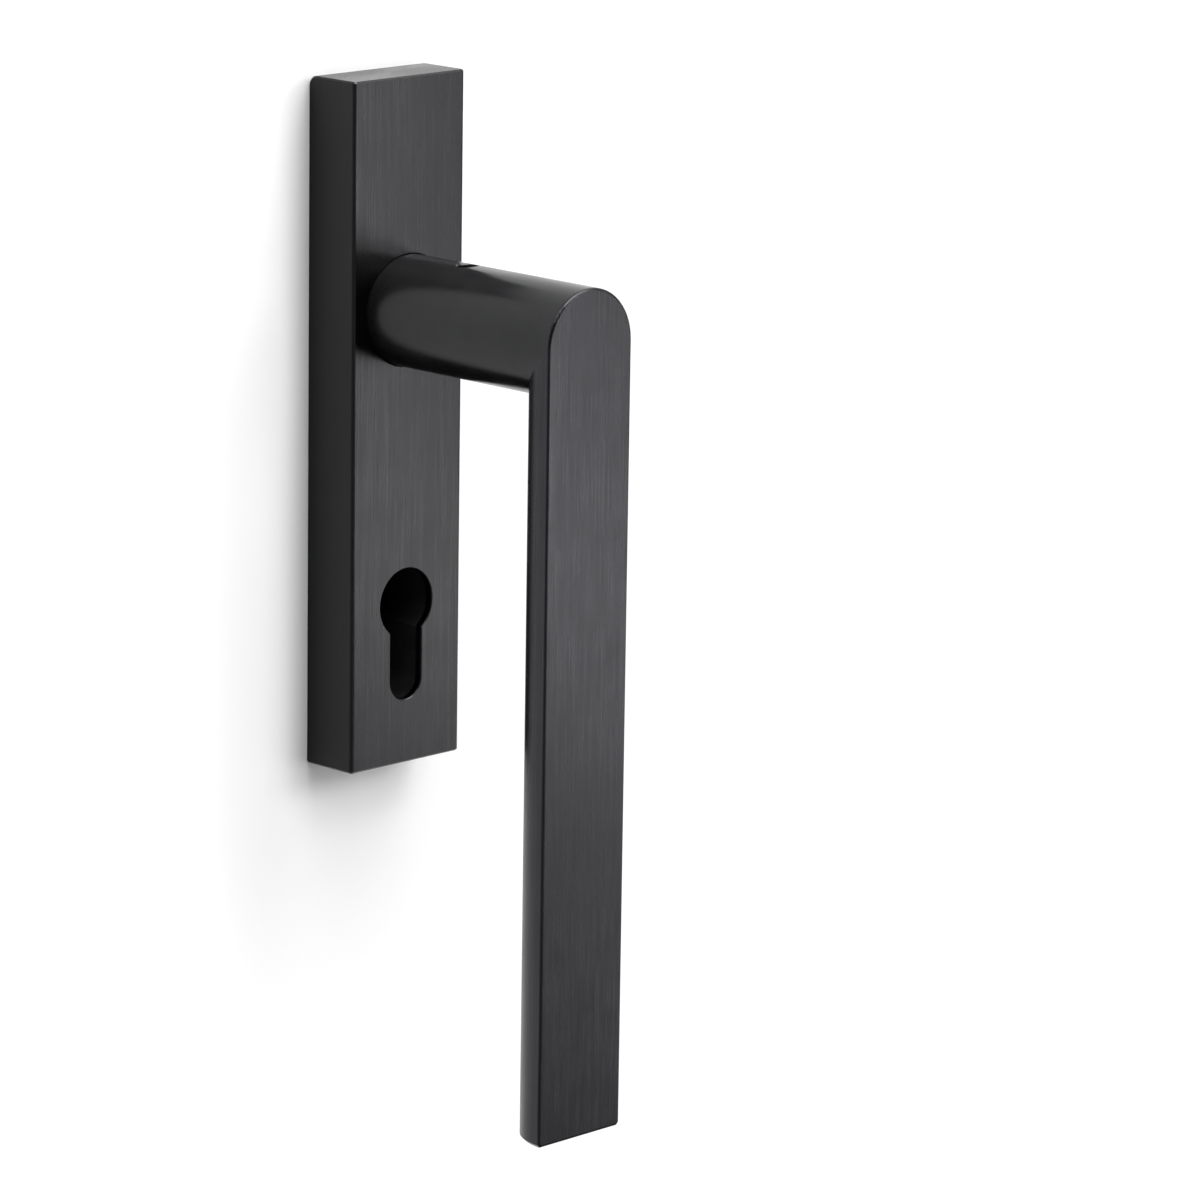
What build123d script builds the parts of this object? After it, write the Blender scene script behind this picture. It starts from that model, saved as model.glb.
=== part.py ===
from build123d import *
import math
import os

# Lift and slide door handle: a lever on a long back plate, with a cylinder cut-out.
# Millimetres. X runs along the door to the right, Y into the door, Z up.
# The origin is where the spindle's axis meets the face of the door, so y = 0 is
# the door's face and everything that shows is at negative y.

# Cover plate
cover_width = 37.0
cover_top = 58.0
cover_bottom = 115.0
cover_depth = 16.5
cover_front_wall = 2.0
cover_side_wall = 2.0
cover_end_wall = 5.0
cover_long_edge_round = 1.0
cover_end_break = 0.4
cover_top_back_round = 2.5
cover_bottom_back_round = 0.8
cover_inner_round = 1.0

# Cut-out for a profile cylinder, one size for the cover and its room in the carrier
cylinder_drop = 74.0
cylinder_head_radius = 8.5
cylinder_stem_width = 10.0
cylinder_height = 33.0
cutout_clearance = 0.25
cutout_edge_break = 0.25
carrier_cutout_room = 1.25
collar_wall = 1.8
collar_gap = 0.9

# Lever
neck_radius = 14.0
neck_clearance = 0.25
projection = 80.0
grip_drop = 198.0
lever_front_round = 0.7
grip_side_land = 0.3
grip_end_break = 0.8
neck_end_break = 0.3
journal_radius = 9.0
journal_flat = 7.5
journal_end_gap = 0.4
neck_gap = 0.1

# Square spindle and its screw
spindle_width = 10.0
spindle_edge = 0.6
spindle_in_neck = 28.0
spindle_in_door = 55.0
spindle_clearance = 0.05
socket_end_room = 1.0
lever_screw_radius = 2.5
lever_screw_length = 6.0
lever_screw_place = 20.8
lever_screw_mouth = 0.5
screw_clearance = 0.05

# Slide ring behind the neck, and bearing bush
ring_thickness = 1.0
ring_radius = 13.2
ring_clearance = 0.1
bush_wall = 2.0
bush_clearance = 0.02
running_clearance = 0.03

# Carrier that is screwed to the door
carrier_clearance = 0.3
carrier_web = 4.0
carrier_rail = 2.2
carrier_rail_front = 8.0
carrier_end_rail = 4.0
carrier_corner_round = 1.3
housing_depth = 12.6
housing_half_height = 26.0
nub_width = 12.0
nub_thickness = 1.6
nub_grip = 0.35
nub_place = 6.2
nub_clearance = 0.15
rib_places = (-56.0, -87.0)
rib_thickness = 2.0

# Fixing screws and their posts
screw_spacing = 80.0
fixing_radius = 3.0
fixing_shank_radius = 2.7
fixing_length = 70.0
fixing_thread_length = 50.0
fixing_head_radius = 6.0
fixing_hole_radius = 3.3
fixing_head_room = 0.2
boss_radius = 7.4
boss_front = 9.6
post_radius = 6.0
post_length = 8.0

# Detent in the carrier's pocket
pocket_side_wall = 2.0
pocket_half_height = 18.0
pocket_depth = 7.5
disc_radius = 11.6
disc_thickness = 3.1
disc_gap = 0.1
key_clearance = 0.05
notch_depth = 1.1
notch_clearance = 0.15
washer_radius = 12.0
washer_thickness = 0.8
clip_thickness = 1.2
clip_groove_depth = 0.5
clip_band = 1.9
clip_opening = 60.0
groove_clearance = 0.05
spring_thickness = 0.5
spring_height = 2.7
spring_half_length = 15.0
spring_leg_start = 7.0
spring_wall_gap = 0.1
spring_bend = 1.5
stop_width = 2.0
stop_height = 3.0
stop_place = 12.5
stop_gap = 0.1

# Lid over the pocket
lid_rim = 1.0
lid_half_height = 25.0
lid_thickness = 1.5
lid_clearance = 0.15
lid_corner_round = 2.0
lid_hole_radius = 8.0
lid_screw_inset_x = 4.5
lid_screw_inset_z = 3.4
lid_screw_radius = 1.5
lid_screw_length = 6.0
lid_screw_head_radius = 2.75

# Grub screw that holds the cover
cover_screw_radius = 2.0
cover_screw_length = 6.0
cover_screw_place = 5.5
cover_screw_sink = 0.4
point_clearance = 0.15

# Hexagon and cross sockets
lever_screw_socket = 2.5
fixing_screw_socket = 4.0
cover_screw_socket = 2.0
socket_depth_share = 0.45
cross_slot_width = 0.8
cross_slot_length = 3.0
cross_slot_depth = 0.9

# Places worked out from the sizes above
half_width = cover_width / 2
cover_front = -cover_depth
cover_inside_front = cover_front + cover_front_wall
cavity_half_width = half_width - cover_side_wall
cavity_top = cover_top - cover_end_wall
cavity_bottom = -cover_bottom + cover_end_wall
carrier_half_width = cavity_half_width - carrier_clearance
carrier_top = cavity_top - carrier_clearance
carrier_bottom = cavity_bottom + carrier_clearance
housing_front = -housing_depth
collar_front = cover_inside_front + collar_gap
pocket_floor = -pocket_depth
pocket_half_width = carrier_half_width - pocket_side_wall
spring_outer = pocket_half_width - spring_wall_gap
spring_inner = spring_outer - spring_thickness
lid_half_width = carrier_half_width - lid_rim - lid_clearance
lid_screw_x = lid_half_width - lid_screw_inset_x
lid_screw_z = lid_half_height - lid_screw_inset_z
neck_end = housing_front - ring_thickness - neck_gap
grip_front = -projection
grip_axis = grip_front + lever_front_round + grip_side_land
nub_top = cavity_top + nub_grip
journal_end = -lid_thickness - journal_end_gap
bush_radius = journal_radius + running_clearance + bush_wall
socket_half = spindle_width / 2 + spindle_clearance
lever_screw_y = cover_front - lever_screw_place
disc_front = pocket_floor + disc_gap
disc_back = disc_front + disc_thickness
washer_back = disc_back + washer_thickness
clip_back = washer_back + clip_thickness
half_spacing = screw_spacing / 2
overlap_margin = 1.0
plane_tolerance = 0.001


def span(x, y, z):
    """A block between two values along each axis."""
    middle = Pos((x[0] + x[1]) / 2, (y[0] + y[1]) / 2, (z[0] + z[1]) / 2)
    return middle * Box(abs(x[1] - x[0]), abs(y[1] - y[0]), abs(z[1] - z[0]))


def rod_y(radius, y_from, y_to, x=0.0, z=0.0):
    """A round bar along Y."""
    return Pos(x, (y_from + y_to) / 2, z) * Rot(90, 0, 0) * Cylinder(radius, y_to - y_from)


def rod_z(radius, z_from, z_to, x=0.0, y=0.0):
    """A round bar along Z."""
    return Pos(x, y, (z_from + z_to) / 2) * Cylinder(radius, z_to - z_from)


def cone_y(radius_from, radius_to, y_from, y_to, x=0.0, z=0.0):
    """A cone along Y, with its first radius at y_from."""
    place = Pos(x, (y_from + y_to) / 2, z) * Rot(-90, 0, 0)
    return place * Cone(radius_from, radius_to, y_to - y_from)


def hexagon_y(across, y_from, y_to, x=0.0, z=0.0):
    """A hexagonal bar along Y, given across its flats."""
    corner = across / math.sqrt(3)
    outline = Plane(origin=(x, y_from, z), z_dir=(0, 1, 0)) * RegularPolygon(corner, 6)
    return extrude(outline, amount=y_to - y_from)


def hexagon_z(across, z_from, z_to, x=0.0, y=0.0):
    """A hexagonal bar along Z, given across its flats."""
    corner = across / math.sqrt(3)
    outline = Plane(origin=(x, y, z_from), z_dir=(0, 0, 1)) * RegularPolygon(corner, 6)
    return extrude(outline, amount=z_to - z_from)


def prism_y(corners, y_from, y_to):
    """A prism along Y over a polygon given by its x and z."""
    plane = Plane(origin=(0, y_from, 0), x_dir=(1, 0, 0), z_dir=(0, -1, 0))
    outline = make_face(plane * Polyline(*corners, close=True))
    return extrude(outline, amount=y_to - y_from, dir=(0, 1, 0))


def cylinder_profile(grow, y_from, y_to):
    """The profile cylinder's outline, a disc over a round-ended stem, grown all round."""
    head = rod_y(cylinder_head_radius + grow, y_from, y_to, z=-cylinder_drop)
    stem_radius = cylinder_stem_width / 2
    stem_end = -cylinder_drop + cylinder_head_radius - cylinder_height + stem_radius
    stem_half = stem_radius + grow
    stem = span((-stem_half, stem_half), (y_from, y_to), (stem_end, -cylinder_drop))
    return head + stem + rod_y(stem_half, y_from, y_to, z=stem_end)


def edges_at_y(solid, y):
    """The solid's edges that lie wholly in the plane at y."""
    boxes = [(edge, edge.bounding_box()) for edge in solid.edges()]
    return [edge for edge, box in boxes
            if abs(box.min.Y - y) < plane_tolerance and abs(box.max.Y - y) < plane_tolerance]


def make_cover_plate():
    """Open-backed shell with rounded long edges, a softened upper rear edge and two openings."""
    plan = Pos(0, cover_front / 2) * Rectangle(cover_width, cover_depth)
    plan = fillet(plan.vertices().group_by(Axis.Y)[0], cover_long_edge_round)
    body = extrude(Pos(0, 0, -cover_bottom) * plan, amount=cover_top + cover_bottom)
    body = fillet(body.edges().filter_by(Axis.X).group_by(Axis.Y)[-1].sort_by(Axis.Z)[-1],
                  cover_top_back_round)
    body = fillet(body.edges().filter_by(Axis.X).group_by(Axis.Y)[-1].sort_by(Axis.Z)[0],
                  cover_bottom_back_round)
    body = chamfer(body.faces().filter_by(Axis.Z).edges(), cover_end_break)
    cavity = span((-cavity_half_width, cavity_half_width), (cover_inside_front, overlap_margin),
                  (cavity_bottom, cavity_top))
    cavity = fillet(cavity.edges().filter_by(Axis.Y), cover_inner_round)
    body -= cavity
    body -= rod_y(neck_radius + neck_clearance, cover_front - overlap_margin,
                  cover_inside_front + overlap_margin)
    body -= cylinder_profile(cutout_clearance, cover_front - overlap_margin,
                             cover_inside_front + overlap_margin)
    rim = [edge for edge in edges_at_y(body, cover_front)
           if edge.bounding_box().max.Z < -cylinder_drop + cylinder_head_radius + overlap_margin
           and abs(edge.center().X) < cylinder_head_radius + overlap_margin
           and edge.bounding_box().min.Z > -cylinder_drop - cylinder_height]
    body = chamfer(rim, cutout_edge_break)
    slot_half_width = nub_width / 2 + nub_clearance
    slot_half = nub_thickness / 2 + nub_clearance
    body -= span((-slot_half_width, slot_half_width), (-nub_place - slot_half, -nub_place + slot_half),
                 (cavity_top - overlap_margin, nub_top + nub_clearance))
    body -= rod_z(cover_screw_radius + screw_clearance, -cover_bottom - overlap_margin,
                  cavity_bottom + overlap_margin, y=-cover_screw_place)
    return body


def make_carrier():
    """Cast carrier: web, rails, bearing housing with its pocket, screw bosses, posts and collar."""
    middle = Plane.XZ * Pos(0, (carrier_top + carrier_bottom) / 2)
    length = carrier_top - carrier_bottom
    plan = middle * Rectangle(2 * carrier_half_width, length)
    plan = fillet(plan.vertices(), carrier_corner_round)
    inner = middle * Rectangle(2 * (carrier_half_width - carrier_rail), length - 2 * carrier_end_rail)
    body = extrude(plan, amount=carrier_rail_front)
    body -= Pos(0, -carrier_web, 0) * extrude(inner, amount=carrier_rail_front)
    body += span((-carrier_half_width, carrier_half_width), (housing_front, 0),
                 (-housing_half_height, housing_half_height))
    for rib_z in rib_places:
        body += span((-carrier_half_width, carrier_half_width), (-carrier_rail_front, 0),
                     (rib_z - rib_thickness / 2, rib_z + rib_thickness / 2))
    body += cylinder_profile(carrier_cutout_room + collar_wall, collar_front, 0)
    body += span((-nub_width / 2, nub_width / 2),
                 (-nub_place - nub_thickness / 2, -nub_place + nub_thickness / 2),
                 (carrier_top - overlap_margin, nub_top))
    for side in (-1, 1):
        body += rod_y(boss_radius, -boss_front, 0, z=side * half_spacing)
        body += rod_y(post_radius, 0, post_length, z=side * half_spacing)
        body -= fixing_seat(side)
    body -= cylinder_profile(carrier_cutout_room, -cover_depth, overlap_margin)
    body -= rod_y(bush_radius + bush_clearance, housing_front - overlap_margin, overlap_margin)
    body -= span((-pocket_half_width, pocket_half_width), (pocket_floor, overlap_margin),
                 (-pocket_half_height, pocket_half_height))
    lid_x = lid_half_width + lid_clearance
    lid_z = lid_half_height + lid_clearance
    body -= span((-lid_x, lid_x), (-lid_thickness, overlap_margin), (-lid_z, lid_z))
    for x, z in four_corners(lid_screw_x, lid_screw_z):
        body -= rod_y(lid_screw_radius + screw_clearance, -lid_screw_length - screw_clearance, 0, x, z)
    for side, end in four_corners(1, 1):
        inner = side * (spring_inner - stop_gap - stop_width)
        low = end * stop_place - stop_height / 2
        body += span((inner, inner + side * stop_width),
                     (pocket_floor - overlap_margin, pocket_floor + spring_height),
                     (low, low + stop_height))
    low, high = cover_screw_ends()
    return body - rod_z(cover_screw_radius + point_clearance, low, high + point_clearance,
                        y=-cover_screw_place)


def fixing_seat(side):
    """Through hole and countersink for a fixing screw, with the room in front of its head."""
    z = side * half_spacing
    head_top = -boss_front + fixing_head_room
    seat_depth = fixing_head_radius - fixing_hole_radius + fixing_head_room
    seat = rod_y(fixing_hole_radius, -cover_depth, post_length + overlap_margin, z=z)
    seat += cone_y(fixing_head_radius + fixing_head_room, fixing_hole_radius, head_top,
                   head_top + seat_depth, z=z)
    return seat + rod_y(fixing_head_radius + fixing_head_room, -cover_depth, head_top, z=z)


def four_corners(x, z):
    """The four mirrored places at plus and minus x and z."""
    return [(sx * x, sz * z) for sx in (-1, 1) for sz in (-1, 1)]


def cover_screw_ends():
    """Heights of the two ends of the cover's grub screw."""
    low = -cover_bottom + cover_screw_sink
    return low, low + cover_screw_length


def make_lever():
    """Round neck mitred into a half-round grip, with a journal, socket and screw hole."""
    body = lever_front() + lever_neck() + lever_grip()
    body += rod_y(journal_radius, neck_end - overlap_margin, journal_end)
    for side in (-1, 1):
        body -= span((side * journal_flat, side * (journal_radius + overlap_margin)),
                     (pocket_floor, journal_end + overlap_margin),
                     (-journal_radius, journal_radius))
    groove_front = washer_back - groove_clearance
    groove_back = clip_back + groove_clearance
    groove = rod_y(journal_radius + overlap_margin, groove_front, groove_back)
    body -= groove - rod_y(journal_radius - clip_groove_depth, groove_front, groove_back)
    socket_end = cover_front - spindle_in_neck - socket_end_room
    body -= span((-socket_half, socket_half), (socket_end, journal_end + overlap_margin),
                 (-socket_half, socket_half))
    body -= rod_z(lever_screw_radius + screw_clearance, 0, neck_radius + overlap_margin, y=lever_screw_y)
    mouth = lever_screw_radius + lever_screw_mouth
    mouth_depth = lever_screw_mouth + overlap_margin
    mouth_middle = neck_radius + overlap_margin - mouth_depth / 2
    return body - Pos(0, lever_screw_y, mouth_middle) * Cone(
        lever_screw_radius, mouth + overlap_margin, mouth_depth)


def lever_front():
    """Front slice of the lever: its outline from the front, with the edge all round it rounded."""
    outline = Pos(0, -grip_drop / 2) * Rectangle(2 * neck_radius, grip_drop)
    outline = chamfer(outline.vertices().group_by(Axis.Y)[0], grip_end_break)
    outline = Plane.XZ * (outline + Circle(neck_radius))
    front = Pos(0, grip_axis, 0) * extrude(outline, amount=grip_axis - grip_front)
    return fillet(edges_at_y(front, grip_front), lever_front_round)


def lever_neck():
    """Round neck from the grip to its end behind the cover's front."""
    neck = rod_y(neck_radius, grip_axis, neck_end)
    return chamfer(edges_at_y(neck, neck_end), neck_end_break)


def lever_grip():
    """Half-round back of the grip, which meets the neck in a mitre."""
    grip = rod_z(neck_radius, -grip_drop, 0, y=grip_axis)
    grip = chamfer(grip.edges().group_by(Axis.Z)[0], grip_end_break)
    reach = neck_radius + overlap_margin
    return grip & span((-reach, reach), (grip_axis, grip_axis + reach), (-grip_drop - overlap_margin, 0))


def make_spindle():
    """Square bar through the lever's socket into the door's gear."""
    half = spindle_width / 2
    bar = span((-half, half), (cover_front - spindle_in_neck, spindle_in_door), (-half, half))
    return chamfer(bar.edges(), spindle_edge)


def make_lever_screw():
    """Grub screw that clamps the spindle in the neck."""
    low = spindle_width / 2
    high = low + lever_screw_length
    screw = rod_z(lever_screw_radius, low, high, y=lever_screw_y)
    depth = lever_screw_length * socket_depth_share
    return screw - hexagon_z(lever_screw_socket, high - depth, high + overlap_margin, y=lever_screw_y)


def make_slide_ring():
    """Flat ring between the neck's rear end and the housing."""
    ring = rod_y(ring_radius, housing_front - ring_thickness, housing_front)
    return ring - rod_y(journal_radius + ring_clearance, -projection, 0)


def make_bearing_bush():
    """Bush in the housing that the journal turns in."""
    bush = rod_y(bush_radius, housing_front, pocket_floor)
    return bush - rod_y(journal_radius + running_clearance, -projection, 0)


def nose_tip():
    """Distance from the axis to the inside of a detent spring's nose."""
    return disc_radius - notch_depth + notch_clearance


def spring_rise():
    """How far the spring's legs rise from the nose to the pocket's wall."""
    return spring_inner - nose_tip()


def make_detent_disc():
    """Disc keyed to the journal, with two notches half a turn apart."""
    disc = rod_y(disc_radius, disc_front, disc_back)
    bore = rod_y(journal_radius + key_clearance, disc_front - overlap_margin, disc_back + overlap_margin)
    key = journal_flat + key_clearance
    bore &= span((-key, key), (disc_front - overlap_margin, disc_back + overlap_margin),
                 (-journal_radius - overlap_margin, journal_radius + overlap_margin))
    disc -= bore
    bottom = disc_radius - notch_depth
    mouth = bottom + spring_rise()
    for side in (-1, 1):
        corners = [(side * bottom, 0), (side * mouth, spring_leg_start), (side * mouth, -spring_leg_start)]
        disc -= prism_y(corners, disc_front - overlap_margin, disc_back + overlap_margin)
    return disc


def make_detent_spring(side):
    """Leaf spring along the pocket's side wall, with a nose that sits in the disc's notch."""
    wall_line = spring_inner + spring_thickness / 2
    nose_line = nose_tip() + spring_thickness / 2
    points = [(side * wall_line, spring_half_length), (side * wall_line, spring_leg_start),
              (side * nose_line, 0), (side * wall_line, -spring_leg_start),
              (side * wall_line, -spring_half_length)]
    path = FilletPolyline(*points, radius=spring_bend)
    strip = Plane.XZ * trace(path, line_width=spring_thickness)
    return Pos(0, pocket_floor + disc_gap + spring_height, 0) * extrude(strip, amount=spring_height)


def make_thrust_washer():
    """Flat washer between the disc and the clip."""
    washer = rod_y(washer_radius, disc_back, washer_back)
    return washer - rod_y(journal_radius + key_clearance, disc_front, 0)


def make_retaining_clip():
    """Open spring clip in the journal's groove."""
    inside = journal_radius - clip_groove_depth + groove_clearance
    clip = rod_y(inside + clip_band, washer_back, clip_back)
    clip -= rod_y(inside, disc_front, 0)
    reach = inside + clip_band + overlap_margin
    half_gap = math.tan(math.radians(clip_opening / 2)) * reach
    corners = [(0, 0), (-half_gap, -reach), (half_gap, -reach)]
    return clip - prism_y(corners, disc_front, 0)


def make_lid():
    """Steel lid screwed over the rear of the pocket."""
    outline = Plane.XZ * Rectangle(2 * lid_half_width, 2 * lid_half_height)
    outline = fillet(outline.vertices(), lid_corner_round)
    lid = extrude(outline, amount=lid_thickness)
    lid -= rod_y(lid_hole_radius, -cover_depth, overlap_margin)
    for x, z in four_corners(lid_screw_x, lid_screw_z):
        lid -= rod_y(lid_screw_radius + screw_clearance, -cover_depth, overlap_margin, x, z)
        lid -= lid_screw_head(x, z, screw_clearance)
    return lid


def lid_screw_head(x, z, grow):
    """Countersunk head at the lid's outer face, grown for its seat."""
    height = lid_screw_head_radius - lid_screw_radius
    return cone_y(lid_screw_radius + grow, lid_screw_head_radius + grow, -height, 0, x, z)


def make_lid_screw(x, z):
    """Small countersunk screw with a cross socket."""
    screw = rod_y(lid_screw_radius, -lid_screw_length, 0, x, z) + lid_screw_head(x, z, 0)
    for long_x in (True, False):
        half_x = (cross_slot_length if long_x else cross_slot_width) / 2
        half_z = (cross_slot_width if long_x else cross_slot_length) / 2
        screw -= span((x - half_x, x + half_x), (-cross_slot_depth, overlap_margin),
                      (z - half_z, z + half_z))
    return screw


def make_fixing_screw(side):
    """Countersunk screw through the carrier and the door, with a reduced shank behind its head."""
    z = side * half_spacing
    head_top = -boss_front + fixing_head_room
    head_height = fixing_head_radius - fixing_shank_radius
    tip = head_top + fixing_length
    thread_start = tip - fixing_thread_length
    screw = cone_y(fixing_head_radius, fixing_shank_radius, head_top, head_top + head_height, z=z)
    screw += rod_y(fixing_shank_radius, head_top + head_height, thread_start, z=z)
    screw += rod_y(fixing_radius, thread_start, tip, z=z)
    depth = head_height * 2 * socket_depth_share
    return screw - hexagon_y(fixing_screw_socket, head_top - overlap_margin, head_top + depth, z=z)


def make_cover_screw():
    """Grub screw through the cover's lower end, with its tip in the carrier."""
    low, high = cover_screw_ends()
    screw = rod_z(cover_screw_radius, low, high, y=-cover_screw_place)
    depth = cover_screw_length * socket_depth_share
    return screw - hexagon_z(cover_screw_socket, low - overlap_margin, low + depth, y=-cover_screw_place)


def all_parts():
    """Every piece by its name."""
    parts = {
        "cover_plate": make_cover_plate(),
        "carrier": make_carrier(),
        "lever": make_lever(),
        "spindle": make_spindle(),
        "lever_screw": make_lever_screw(),
        "slide_ring": make_slide_ring(),
        "bearing_bush": make_bearing_bush(),
        "detent_disc": make_detent_disc(),
        "detent_spring_left": make_detent_spring(-1),
        "detent_spring_right": make_detent_spring(1),
        "thrust_washer": make_thrust_washer(),
        "retaining_clip": make_retaining_clip(),
        "lid": make_lid(),
        "fixing_screw_lower": make_fixing_screw(-1),
        "fixing_screw_upper": make_fixing_screw(1),
        "cover_screw": make_cover_screw(),
    }
    for number, (x, z) in enumerate(four_corners(lid_screw_x, lid_screw_z), start=1):
        parts[f"lid_screw_{number}"] = make_lid_screw(x, z)
    return parts


os.makedirs("parts", exist_ok=True)
for name, shape in all_parts().items():
    export_step(shape, os.path.join("parts", name + ".step"))
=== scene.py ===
import math

import bpy
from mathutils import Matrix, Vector


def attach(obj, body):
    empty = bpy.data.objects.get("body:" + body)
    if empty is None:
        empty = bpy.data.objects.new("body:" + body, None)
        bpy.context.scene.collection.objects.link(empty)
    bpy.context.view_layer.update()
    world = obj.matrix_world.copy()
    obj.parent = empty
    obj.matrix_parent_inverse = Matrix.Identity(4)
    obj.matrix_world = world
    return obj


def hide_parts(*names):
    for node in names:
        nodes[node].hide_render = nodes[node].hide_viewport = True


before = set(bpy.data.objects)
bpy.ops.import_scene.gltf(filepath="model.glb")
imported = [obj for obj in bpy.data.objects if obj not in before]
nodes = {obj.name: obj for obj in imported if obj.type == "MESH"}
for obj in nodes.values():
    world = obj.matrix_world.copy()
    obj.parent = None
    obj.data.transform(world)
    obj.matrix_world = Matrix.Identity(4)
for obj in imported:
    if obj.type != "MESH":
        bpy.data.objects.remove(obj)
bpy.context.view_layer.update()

mm = 0.001
print("frame loaded")

# Main places of the handle, in mm, with the spindle's axis at 0 and the door's face at y 0
handle = {
    "plateHalfWidth": 18.5,
    "plateTop": 58.0,
    "plateBottom": -115.0,
    "gripAxis": -79.0,  # y of the axis of the grip's round back
}


# A value on its way through a finish. Sums written with it add Math nodes.
class Wire:
    def __init__(self, finish, socket):
        self.finish = finish
        self.socket = socket

    def maths(self, operation, first, second=None):
        return self.finish.add("ShaderNodeMath", {"operation": operation}, {0: first, 1: second})

    def __add__(self, other):
        return self.maths("ADD", self, other)

    def __radd__(self, other):
        return self.maths("ADD", other, self)

    def __sub__(self, other):
        return self.maths("SUBTRACT", self, other)

    def __rsub__(self, other):
        return self.maths("SUBTRACT", other, self)

    def __mul__(self, other):
        return self.maths("MULTIPLY", self, other)

    def __rmul__(self, other):
        return self.maths("MULTIPLY", other, self)

    def larger(self, other):
        return self.maths("MAXIMUM", self, other)

    def size(self):
        return self.maths("ABSOLUTE", self)

    def root(self):
        return self.maths("SQRT", self)

    # 0 up to low, 1 from high on, smooth between
    def rise(self, low, high):
        settings = {"interpolation_type": "SMOOTHSTEP"}
        return self.finish.add("ShaderNodeMapRange", settings, {0: self, 1: low, 2: high})

    # Another output of the same node
    def other(self, name):
        return Wire(self.finish, self.socket.node.outputs[name])


# A material, or the room's world, under construction
class Finish:
    def __init__(self, name, store=bpy.data.materials):
        self.made = store.new(name)
        self.made.use_nodes = True
        self.tree = self.made.node_tree
        self.tree.nodes.clear()

    # Any node: its settings go in first, then its sockets' values or links
    def add(self, kind, settings=None, sockets=None):
        node = self.tree.nodes.new(kind)
        for key, value in (settings or {}).items():
            setattr(node, key, value)
        for key, value in (sockets or {}).items():
            if isinstance(value, Wire):
                self.tree.links.new(value.socket, node.inputs[key])
            elif value is not None:
                node.inputs[key].default_value = value
        return Wire(self, node.outputs[0]) if node.outputs else None

    def place(self):
        return self.add("ShaderNodeTexCoord").other("Object")

    def axes(self, place):
        split = self.add("ShaderNodeSeparateXYZ", None, {0: place})
        return split.other("X"), split.other("Y"), split.other("Z")

    def stretch(self, place, factors):
        settings = {"operation": "MULTIPLY"}
        return self.add("ShaderNodeVectorMath", settings, {0: place, 1: factors})

    # Clouds have one density per metre. Lines have one along each axis, the lowest along the line.
    def noise(self, place, grain):
        density = grain["density"]
        if isinstance(density, tuple):
            place, density = self.stretch(place, density), 1.0
        sockets = {"Vector": place, "Scale": density, "Detail": grain["detail"],
                   "Roughness": grain["roughness"]}
        return self.add("ShaderNodeTexNoise", None, sockets)

    def mixColour(self, amount, first, second):
        settings = {"data_type": "RGBA"}
        return self.add("ShaderNodeMix", settings, {0: amount, 6: first, 7: second}).other(2)

    def mixNumber(self, amount, first, second):
        return first + amount * (second - first)

    # The relief's height is in mm
    def bump(self, height, relief):
        sockets = {"Height": height, "Distance": relief["height"] * mm,
                   "Strength": relief["strength"]}
        return self.add("ShaderNodeBump", None, sockets)

    def coat(self, sockets):
        return self.show(self.add("ShaderNodeBsdfPrincipled", None, sockets))

    def show(self, shader, output="ShaderNodeOutputMaterial"):
        self.add(output, None, {"Surface": shader})
        return self.made


# Dark brushed metal of the plate and the grip. The lines run along Z and show less on the
# plate's sides, which also get painted shade, and a pair goes from the dark lines to the light
# ones.
brushed = {
    "plate": ((0.034, 0.034, 0.0355, 1.0), (0.042, 0.042, 0.0438, 1.0)),
    "lever": ((0.034, 0.034, 0.0368, 1.0), (0.043, 0.043, 0.0463, 1.0)),
    "fine": {"density": (3300.0, 3300.0, 45.0), "detail": 2.0, "roughness": 0.6},
    "broad": {"density": (800.0, 800.0, 20.0), "detail": 2.0, "roughness": 0.5},
    "cloud": {"density": 110.0, "detail": 3.0, "roughness": 0.55},
    "fineShare": 0.6,
    "broadShare": 0.2,
    "cloudShare": 0.2,
    "spread": (0.33, 0.67),
    "middle": 0.5,
    "rough": (0.34, 0.25),
    "metallic": 1.0,
    "anisotropic": 0.45,
    "relief": {"height": 0.004, "strength": 0.10},
    "frontStreaks": 0.8,
    "sideStreaks": 0.45,
    # Painted shade: the plate's sides take this share of the front's colour
    "sidePaintedShade": 0.72,
    "sideBlend": 0.5,  # mm
}

# Turned finish of the neck, with fine rings round the spindle's axis
turned = {
    "colours": ((0.0235, 0.0238, 0.025, 1.0), (0.0268, 0.0271, 0.0284, 1.0)),
    "ring": {"density": (60.0, 2600.0, 60.0), "detail": 2.0, "roughness": 0.5},
    "ringShare": 0.4,
    "cloudShare": 0.6,
    "spread": (0.36, 0.64),
    "rough": (0.20, 0.26),
    "roughSpread": (0.3, 0.7),
    "metallic": 0.7,
    "blend": 0.1,  # mm to each side of the seam with the grip
}


# Colour, roughness and normal of the lines. The share says how much they show, from 0 to 1.
def brushLines(f, place, colours, share):
    fine = f.noise(place, brushed["fine"])
    broad = f.noise(place, brushed["broad"])
    cloud = f.noise(place, brushed["cloud"])
    lines = (fine * brushed["fineShare"] + broad * brushed["broadShare"]
             + cloud * brushed["cloudShare"]).rise(*brushed["spread"])
    shade = f.mixNumber(share, brushed["middle"], lines)
    rough = f.mixNumber(shade, *brushed["rough"])
    return f.mixColour(shade, *colours), rough, f.bump(fine * share, brushed["relief"])


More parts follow.
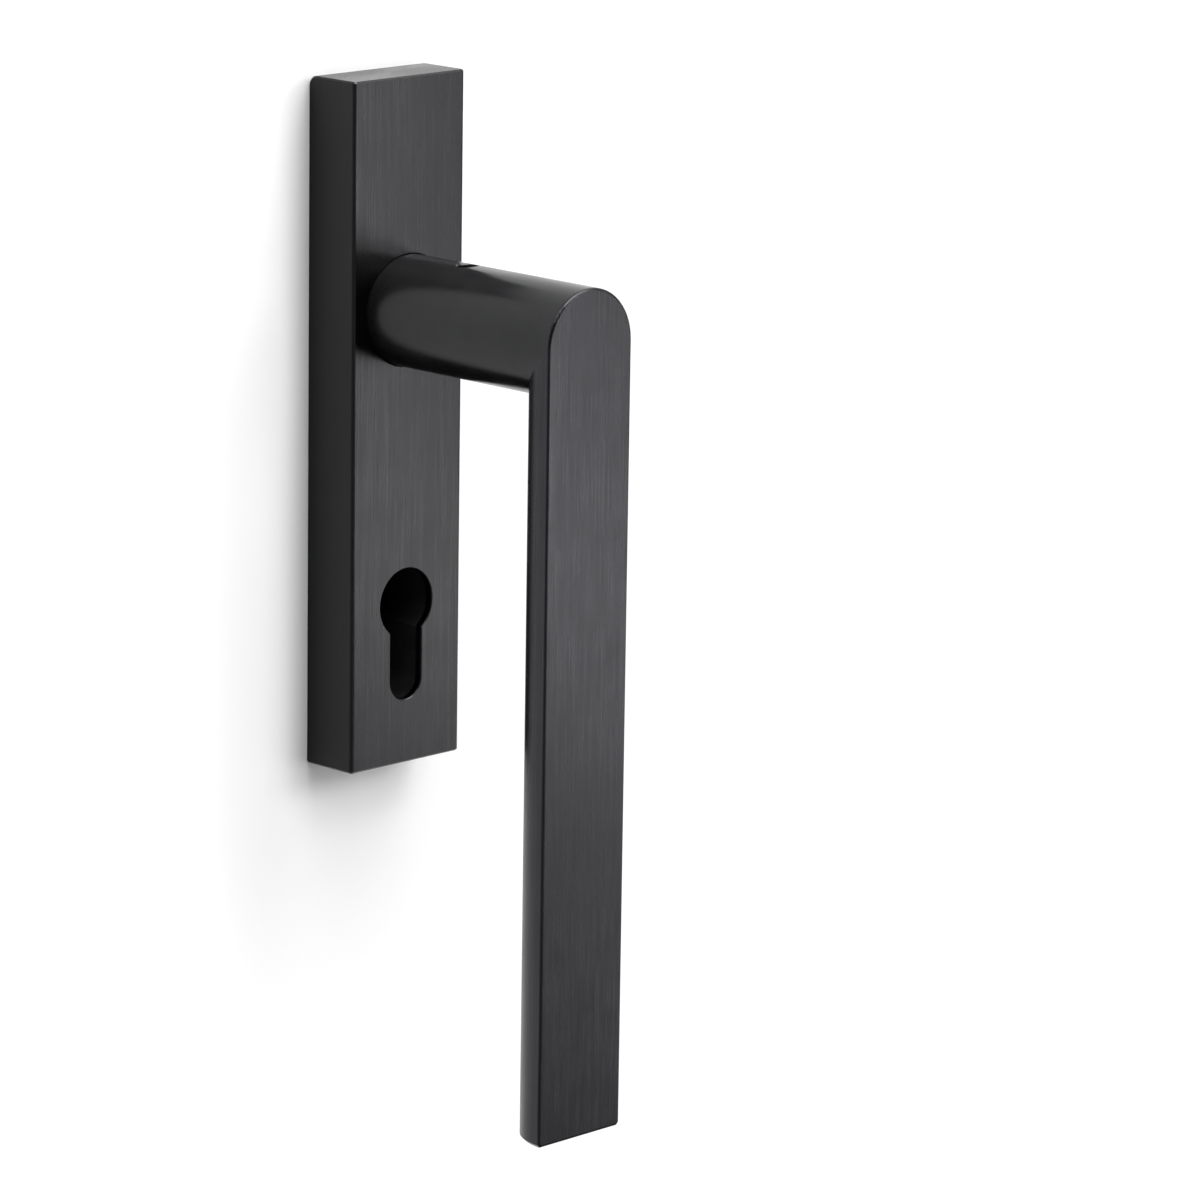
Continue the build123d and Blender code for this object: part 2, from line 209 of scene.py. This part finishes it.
def plateMetal():
    f = Finish("brushedPlate")
    place = f.place()
    x, y, z = f.axes(place)
    edge = handle["plateHalfWidth"] * mm
    side = x.size().rise(edge - brushed["sideBlend"] * mm, edge)
    share = f.mixNumber(side, brushed["frontStreaks"], brushed["sideStreaks"])
    colour, rough, normal = brushLines(f, place, brushed["plate"], share)
    # Painted shade: the sides' colour is darkened, standing in for the shadowed wall that they
    # reflect
    sideWithPaintedShade = f.stretch(colour, (brushed["sidePaintedShade"],) * 3)
    return f.coat({
        "Base Color": f.mixColour(side, colour, sideWithPaintedShade),
        "Metallic": brushed["metallic"],
        "Roughness": rough,
        "Normal": normal,
        "Anisotropic": brushed["anisotropic"],
    })


# The neck lies behind the grip's front and above the mitre between the two
def leverMetal():
    f = Finish("brushedLever")
    place = f.place()
    x, y, z = f.axes(place)
    gripAxis, blend = handle["gripAxis"] * mm, turned["blend"] * mm
    behindFront = (y - (gripAxis + blend)).rise(0.0, 2 * blend)
    aboveMitre = (z + y - gripAxis).rise(-blend, blend)
    neck = behindFront * aboveMitre
    colour, rough, normal = brushLines(f, place, brushed["lever"], 1.0 - neck)
    ring = f.noise(place, turned["ring"])
    cloud = f.noise(place, brushed["cloud"])
    shade = (ring * turned["ringShare"] + cloud * turned["cloudShare"]).rise(*turned["spread"])
    turnedRough = f.mixNumber(cloud.rise(*turned["roughSpread"]), *turned["rough"])
    return f.coat({
        "Base Color": f.mixColour(neck, colour, f.mixColour(shade, *turned["colours"])),
        "Metallic": f.mixNumber(neck, brushed["metallic"], turned["metallic"]),
        "Roughness": f.mixNumber(neck, rough, turnedRough),
        "Normal": normal,
        "Anisotropic": brushed["anisotropic"],
    })


# Near-black carrier: a black coating, and also painted shade for the inside of the cylinder's
# opening, where the carrier shows
casting = {
    "colours": ((0.012, 0.012, 0.0125, 1.0), (0.026, 0.026, 0.027, 1.0)),
    "skin": {"density": 1400.0, "detail": 4.0, "roughness": 0.6},
    "patches": {"density": 130.0, "detail": 3.0, "roughness": 0.5},
    "skinShare": 0.6,
    "patchShare": 0.4,
    "spread": (0.35, 0.65),
    "rough": (0.45, 0.62),
    "relief": {"height": 0.05, "strength": 0.35},
}


def castMetal():
    f = Finish("darkCastingPaintedShade")
    place = f.place()
    skin = f.noise(place, casting["skin"])
    patches = f.noise(place, casting["patches"])
    shade = skin * casting["skinShare"] + patches * casting["patchShare"]
    return f.coat({
        # These dark colours are partly painted shade for the unlit inside of the opening
        "Base Color": f.mixColour(shade.rise(*casting["spread"]), *casting["colours"]),
        "Metallic": 0.0,
        "Roughness": f.mixNumber(skin, *casting["rough"]),
        "Normal": f.bump(skin, casting["relief"]),
    })


# Drawn steel, bright on the screws and the bar, darker on the springs, black on the grub screws
drawnSteel = {
    "bright": ((0.30, 0.31, 0.32, 1.0), (0.44, 0.45, 0.46, 1.0)),
    "spring": ((0.20, 0.20, 0.21, 1.0), (0.34, 0.34, 0.35, 1.0)),
    "black": ((0.030, 0.030, 0.031, 1.0), (0.070, 0.070, 0.073, 1.0)),
    "drawn": {"density": (2400.0, 90.0, 2400.0), "detail": 2.0, "roughness": 0.5},
    "patches": {"density": 260.0, "detail": 4.0, "roughness": 0.6},
    "drawnShare": 0.4,
    "patchShare": 0.6,
    "spread": (0.36, 0.64),
    "rough": (0.28, 0.42),
    "relief": {"height": 0.003, "strength": 0.2},
}


def platedSteel(name, colours):
    f = Finish(name)
    place = f.place()
    drawn = f.noise(place, drawnSteel["drawn"])
    patches = f.noise(place, drawnSteel["patches"])
    shade = drawn * drawnSteel["drawnShare"] + patches * drawnSteel["patchShare"]
    return f.coat({
        "Base Color": f.mixColour(shade.rise(*drawnSteel["spread"]), *colours),
        "Metallic": 1.0,
        "Roughness": f.mixNumber(patches, *drawnSteel["rough"]),
        "Normal": f.bump(drawn, drawnSteel["relief"]),
    })


# Black nylon of the bush and the slide ring
nylon = {
    "colours": ((0.016, 0.016, 0.016, 1.0), (0.030, 0.030, 0.030, 1.0)),
    "grain": {"density": 1800.0, "detail": 3.0, "roughness": 0.5},
    "spread": (0.35, 0.65),
    "rough": (0.38, 0.5),
    "relief": {"height": 0.01, "strength": 0.3},
}


def mouldedNylon():
    f = Finish("mouldedNylon")
    grain = f.noise(f.place(), nylon["grain"])
    return f.coat({
        "Base Color": f.mixColour(grain.rise(*nylon["spread"]), *nylon["colours"]),
        "Metallic": 0.0,
        "Roughness": f.mixNumber(grain, *nylon["rough"]),
        "Normal": f.bump(grain, nylon["relief"]),
    })


def dress(node, material):
    mesh = nodes[node].data
    mesh.materials.clear()
    mesh.materials.append(material)


steel = platedSteel("platedSteel", drawnSteel["bright"])
springSteel = platedSteel("springSteel", drawnSteel["spring"])
blackSteel = platedSteel("blackSteel", drawnSteel["black"])
blackNylon = mouldedNylon()
finishes = {
    "cover_plate": plateMetal(),
    "lever": leverMetal(),
    "carrier": castMetal(),
    "slide_ring": blackNylon,
    "bearing_bush": blackNylon,
    "detent_spring_left": springSteel,
    "detent_spring_right": springSteel,
    "retaining_clip": springSteel,
    "lever_screw": blackSteel,
    "cover_screw": blackSteel,
}
for node in nodes:
    dress(node, finishes.get(node, steel))
print("finishes on")

# The two fixing screws get their threads, in mm. The screws stand one above and one below
# the spindle.
thread = {
    "screwSpot": 40.0,
    "radius": 3.0,
    "depth": 0.58,
    "pitch": 1.0,
    "start": 10.6,
    "tip": 60.6,
    "tipBevel": 0.6,
    "tipShare": 0.72,
    "steps": 28,
    "crest": 0.3,  # width of the crest, as a share of the ridge's middle part
    "ridgeCuts": 3,
    "ridgeMiddle": 0.75,  # the middle part, as a share of the ridge's half width
    "skin": 2.95,  # points further out than this lie on the thread's outside
    "slack": 0.05,
    "weld": 0.002,
    "ridgeWeld": 0.001,
    "smoothAngle": 30,
}


def onlySelected(piece):
    bpy.ops.object.select_all(action="DESELECT")
    piece.select_set(True)
    bpy.context.view_layer.objects.active = piece


# Selects the points for which the test says yes, in edit mode
def pick(piece, test):
    bpy.ops.object.mode_set(mode="EDIT")
    bpy.ops.mesh.select_mode(type="VERT")
    bpy.ops.mesh.select_all(action="DESELECT")
    bpy.ops.object.mode_set(mode="OBJECT")
    for vertex in piece.data.vertices:
        vertex.select = test(vertex.co)
    bpy.ops.object.mode_set(mode="EDIT")


# One turn's outline, a ridge with a flat crest, swept round the screw's axis by the
# Screw modifier
def threadRidge(name, axisHeight):
    turns = int((thread["tip"] - thread["start"] - thread["tipBevel"]) / thread["pitch"]) - 1
    half = thread["pitch"] / 2 * mm
    middle = thread["ridgeMiddle"] * half
    root = (thread["radius"] - thread["depth"]) * mm
    bpy.ops.object.select_all(action="DESELECT")
    bpy.ops.mesh.primitive_plane_add(size=thread["pitch"] * mm, location=(0, 0, 0))
    ridge = bpy.context.active_object
    ridge.name = name
    pick(ridge, lambda co: co.x < 0)
    bpy.ops.mesh.delete(type="VERT")
    bpy.ops.mesh.select_all(action="SELECT")
    bpy.ops.mesh.subdivide(number_cuts=thread["ridgeCuts"])
    pick(ridge, lambda co: abs(co.y) < middle)
    bpy.ops.transform.translate(value=(thread["depth"] * mm, 0, 0))
    bpy.ops.transform.resize(value=(1, thread["crest"], 1), center_override=(0, 0, 0))
    bpy.ops.mesh.select_all(action="SELECT")
    bpy.ops.transform.translate(value=(root - half, 0, 0))
    bpy.ops.object.mode_set(mode="OBJECT")
    ridge.location = (0, (thread["start"] + thread["pitch"]) * mm, axisHeight)
    screw = ridge.modifiers.new("turns", "SCREW")
    screw.axis = "Y"
    screw.angle = 2 * math.pi
    screw.screw_offset = thread["pitch"] * mm
    screw.iterations = turns
    screw.steps = thread["steps"]
    screw.render_steps = thread["steps"]
    screw.use_merge_vertices = True
    screw.merge_threshold = thread["ridgeWeld"] * mm
    onlySelected(ridge)
    bpy.ops.object.modifier_apply(modifier=screw.name)
    bpy.ops.object.transform_apply(location=True, rotation=True, scale=True)
    return ridge


# A copy of the CAD screw with its thread's length turned down to the root, and the ridge on it
def threadedScrew(node, side):
    axisHeight = side * thread["screwSpot"] * mm
    centre = (0, 0, axisHeight)
    skin = thread["skin"] * mm
    threadFrom = (thread["start"] - thread["slack"]) * mm
    tipFrom = (thread["tip"] - thread["slack"]) * mm
    bevel = thread["tipBevel"] * mm
    rootShare = (thread["radius"] - thread["depth"]) / thread["radius"]
    body = nodes[node].copy()
    body.data = nodes[node].data.copy()
    bpy.context.scene.collection.objects.link(body)
    body.name = node + "_threaded"
    for key in list(body.keys()):
        del body[key]
    body.parent = None
    onlySelected(body)
    bpy.ops.object.mode_set(mode="EDIT")
    bpy.ops.mesh.select_all(action="SELECT")
    bpy.ops.mesh.remove_doubles(threshold=thread["weld"] * mm)
    pick(body, lambda co: co.y > threadFrom and math.hypot(co.x, co.z - axisHeight) > skin)
    bpy.ops.transform.resize(value=(rootShare, 1, rootShare), center_override=centre)
    pick(body, lambda co: co.y > tipFrom)
    bpy.ops.mesh.dissolve_faces()
    bpy.ops.transform.translate(value=(0, -bevel, 0))
    bpy.ops.mesh.extrude_region_move(TRANSFORM_OT_translate={"value": (0, bevel, 0)})
    tipShare = (thread["tipShare"], 1, thread["tipShare"])
    bpy.ops.transform.resize(value=tipShare, center_override=centre)
    bpy.ops.object.mode_set(mode="OBJECT")
    ridge = threadRidge(node + "_ridge", axisHeight)
    ridge.data.materials.append(steel)
    onlySelected(body)
    ridge.select_set(True)
    bpy.ops.object.join()
    bpy.ops.object.shade_smooth_by_angle(angle=math.radians(thread["smoothAngle"]))
    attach(body, "base")
    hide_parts(node)


for node, side in (("fixing_screw_lower", -1), ("fixing_screw_upper", 1)):
    threadedScrew(node, side)
print("screws threaded")

# White wall behind the handle, with a soft shadow round the plate and black painted shade behind
# the plate. Lengths are in mm, but the half size is in metres.
wall = {
    "halfSize": 1.4,
    "forward": 0.3,
    "white": (0.93, 0.93, 0.93, 1.0),
    "glowColour": (1.0, 1.0, 1.0, 1.0),
    "glow": 1.1,
    "shadowNear": 10.0,  # the near part of the shadow ends here
    "shadowNearShare": 0.5,
    "shadowTail": 10.0,  # and its wide part runs from here
    "shadowFar": 48.0,  # to here
    "shadowDrop": 0.42,  # distances below the plate count this much
    "shadowRise": 3.0,  # and those above it this much
    # Black painted shade on the wall behind the plate, starting this far inside the plate's
    # outline
    "paintedShadeInset": 1.0,
    "paintedShadeColour": (0.0, 0.0, 0.0, 1.0),
}


def wallFinish():
    f = Finish("whiteWall")
    x, y, z = f.axes(f.place())
    outX = x.size() - handle["plateHalfWidth"] * mm
    above = (z - handle["plateTop"] * mm) * wall["shadowRise"]
    outZ = above.larger((handle["plateBottom"] * mm - z) * wall["shadowDrop"])
    beyondX = outX.larger(0.0)
    beyondZ = outZ.larger(0.0)
    distance = (beyondX * beyondX + beyondZ * beyondZ).root()
    # Behind the plate the wall is painted black, as painted shade, so that the cylinder's opening
    # shows nothing
    inset = wall["paintedShadeInset"] * mm
    behind = 1.0 - outX.larger(outZ).rise(-2 * inset, -inset)
    colour = f.mixColour(behind, wall["white"], wall["paintedShadeColour"])
    plain = f.add("ShaderNodeBsdfDiffuse", None, {"Color": colour})
    glowSockets = {"Color": wall["glowColour"], "Strength": wall["glow"]}
    glow = f.add("ShaderNodeEmission", None, glowSockets)
    ray = f.add("ShaderNodeLightPath")
    seen = ray.other("Is Camera Ray").larger(ray.other("Is Glossy Ray"))
    seen = seen.larger(ray.other("Is Transmission Ray"))
    near = distance.rise(0.0, wall["shadowNear"] * mm)
    wide = distance.rise(wall["shadowTail"] * mm, wall["shadowFar"] * mm)
    away = near * wall["shadowNearShare"] + wide * (1 - wall["shadowNearShare"])
    front = f.add("ShaderNodeMixShader", None, {0: seen * away, 1: plain, 2: glow})
    # From behind, the wall lets the view through to the carrier's back
    clear = f.add("ShaderNodeBsdfTransparent")
    back = f.add("ShaderNodeNewGeometry").other("Backfacing")
    return f.show(f.add("ShaderNodeMixShader", None, {0: back, 1: front, 2: clear}))


def addWall():
    bpy.ops.object.select_all(action="DESELECT")
    bpy.ops.mesh.primitive_plane_add(size=2 * wall["halfSize"], rotation=(math.pi / 2, 0, 0),
                                     location=(0, -wall["forward"] * mm, 0))
    stageWall = bpy.context.active_object
    stageWall.name = "stageWall"
    bpy.ops.object.transform_apply(location=True, rotation=True, scale=True)
    stageWall.data.materials.append(wallFinish())


addWall()

# Softboxes: the direction each stands in, in degrees from the handle's front and above its
# middle, its distance, its width and height in metres, and its power
softboxes = {
    "rightLevel": {"turn": 32, "lift": 0, "away": 0.8, "size": (0.32, 0.064), "watts": 0.50},
    "rightLow": {"turn": 32, "lift": -6, "away": 0.8, "size": (0.32, 0.064), "watts": 0.28},
    "rightLower": {"turn": 32, "lift": -11, "away": 0.8, "size": (0.32, 0.064), "watts": 0.41},
    "farRightLow": {"turn": 55, "lift": -16, "away": 0.8, "size": (0.32, 0.064), "watts": 0.32},
    "farRightLower": {"turn": 55, "lift": -21, "away": 1.5, "size": (0.6, 0.12), "watts": 0.80},
    "rightHigh": {"turn": 35, "lift": 20, "away": 1.5, "size": (0.45, 0.45), "watts": 7.2},
    "frontLow": {"turn": -2, "lift": -14, "away": 1.5, "size": (0.8, 0.7), "watts": 1.0},
    "frontLeftLow": {"turn": -62, "lift": -14, "away": 1.5, "size": (0.7, 0.7), "watts": 0.65},
    "overheadFront": {"turn": 30, "lift": 68, "away": 1.5, "size": (1.4, 1.4), "watts": 34.0},
    "overheadLeft": {"turn": -60, "lift": 68, "away": 1.5, "size": (1.6, 1.6), "watts": 18.2},
    "overheadRight": {"turn": 60, "lift": 68, "away": 1.5, "size": (0.8, 0.8), "watts": 4.1},
    "behindLeft": {"turn": 215, "lift": 30, "away": 1.6, "size": (2.0, 2.0), "watts": 12.0},
    "behindRight": {"turn": 140, "lift": 20, "away": 1.6, "size": (2.0, 2.0), "watts": 9.0},
}
lightMiddle = Vector((0.0, -0.04, -0.05))


def addSoftbox(name, box):
    turn, lift = math.radians(box["turn"]), math.radians(box["lift"])
    outward = Vector((math.sin(turn) * math.cos(lift), -math.cos(turn) * math.cos(lift),
                      math.sin(lift)))
    bpy.ops.object.select_all(action="DESELECT")
    bpy.ops.object.light_add(type="AREA", location=lightMiddle + outward * box["away"])
    lamp = bpy.context.active_object
    lamp.name = name
    lamp.data.shape = "RECTANGLE"
    lamp.data.size, lamp.data.size_y = box["size"]
    lamp.data.energy = box["watts"]
    lamp.rotation_euler = (-outward).to_track_quat("-Z", "Y").to_euler()


for name, box in softboxes.items():
    addSoftbox(name, box)

# The room lights the handle a little and shows white
room = {"colour": (1.0, 1.0, 1.0, 1.0), "level": 0.12, "shown": 1.0}


def roomFinish():
    f = Finish("studioRoom", bpy.data.worlds)
    kind = "ShaderNodeBackground"
    dim = f.add(kind, None, {"Color": room["colour"], "Strength": room["level"]})
    white = f.add(kind, None, {"Color": room["colour"], "Strength": room["shown"]})
    seen = f.add("ShaderNodeLightPath").other("Is Camera Ray")
    mixed = f.add("ShaderNodeMixShader", None, {0: seen, 1: dim, 2: white})
    return f.show(mixed, "ShaderNodeOutputWorld")


bpy.context.scene.world = roomFinish()

photoCamera = {
    "place": (-0.98404, -1.06042, 0.26051),
    "turn": (76.9213, -0.8528, -45.0358),
    "lens": 177.431,
    "sensor": 36.0,
    "clip": (0.05, 20.0),
}
bpy.ops.object.camera_add(location=photoCamera["place"],
                          rotation=[math.radians(angle) for angle in photoCamera["turn"]])
camera = bpy.context.active_object
camera.data.sensor_width = photoCamera["sensor"]
camera.data.lens = photoCamera["lens"]
camera.data.clip_start, camera.data.clip_end = photoCamera["clip"]
bpy.context.scene.camera = camera
bpy.context.scene.view_settings.view_transform = "Standard"
print("stage and camera set")
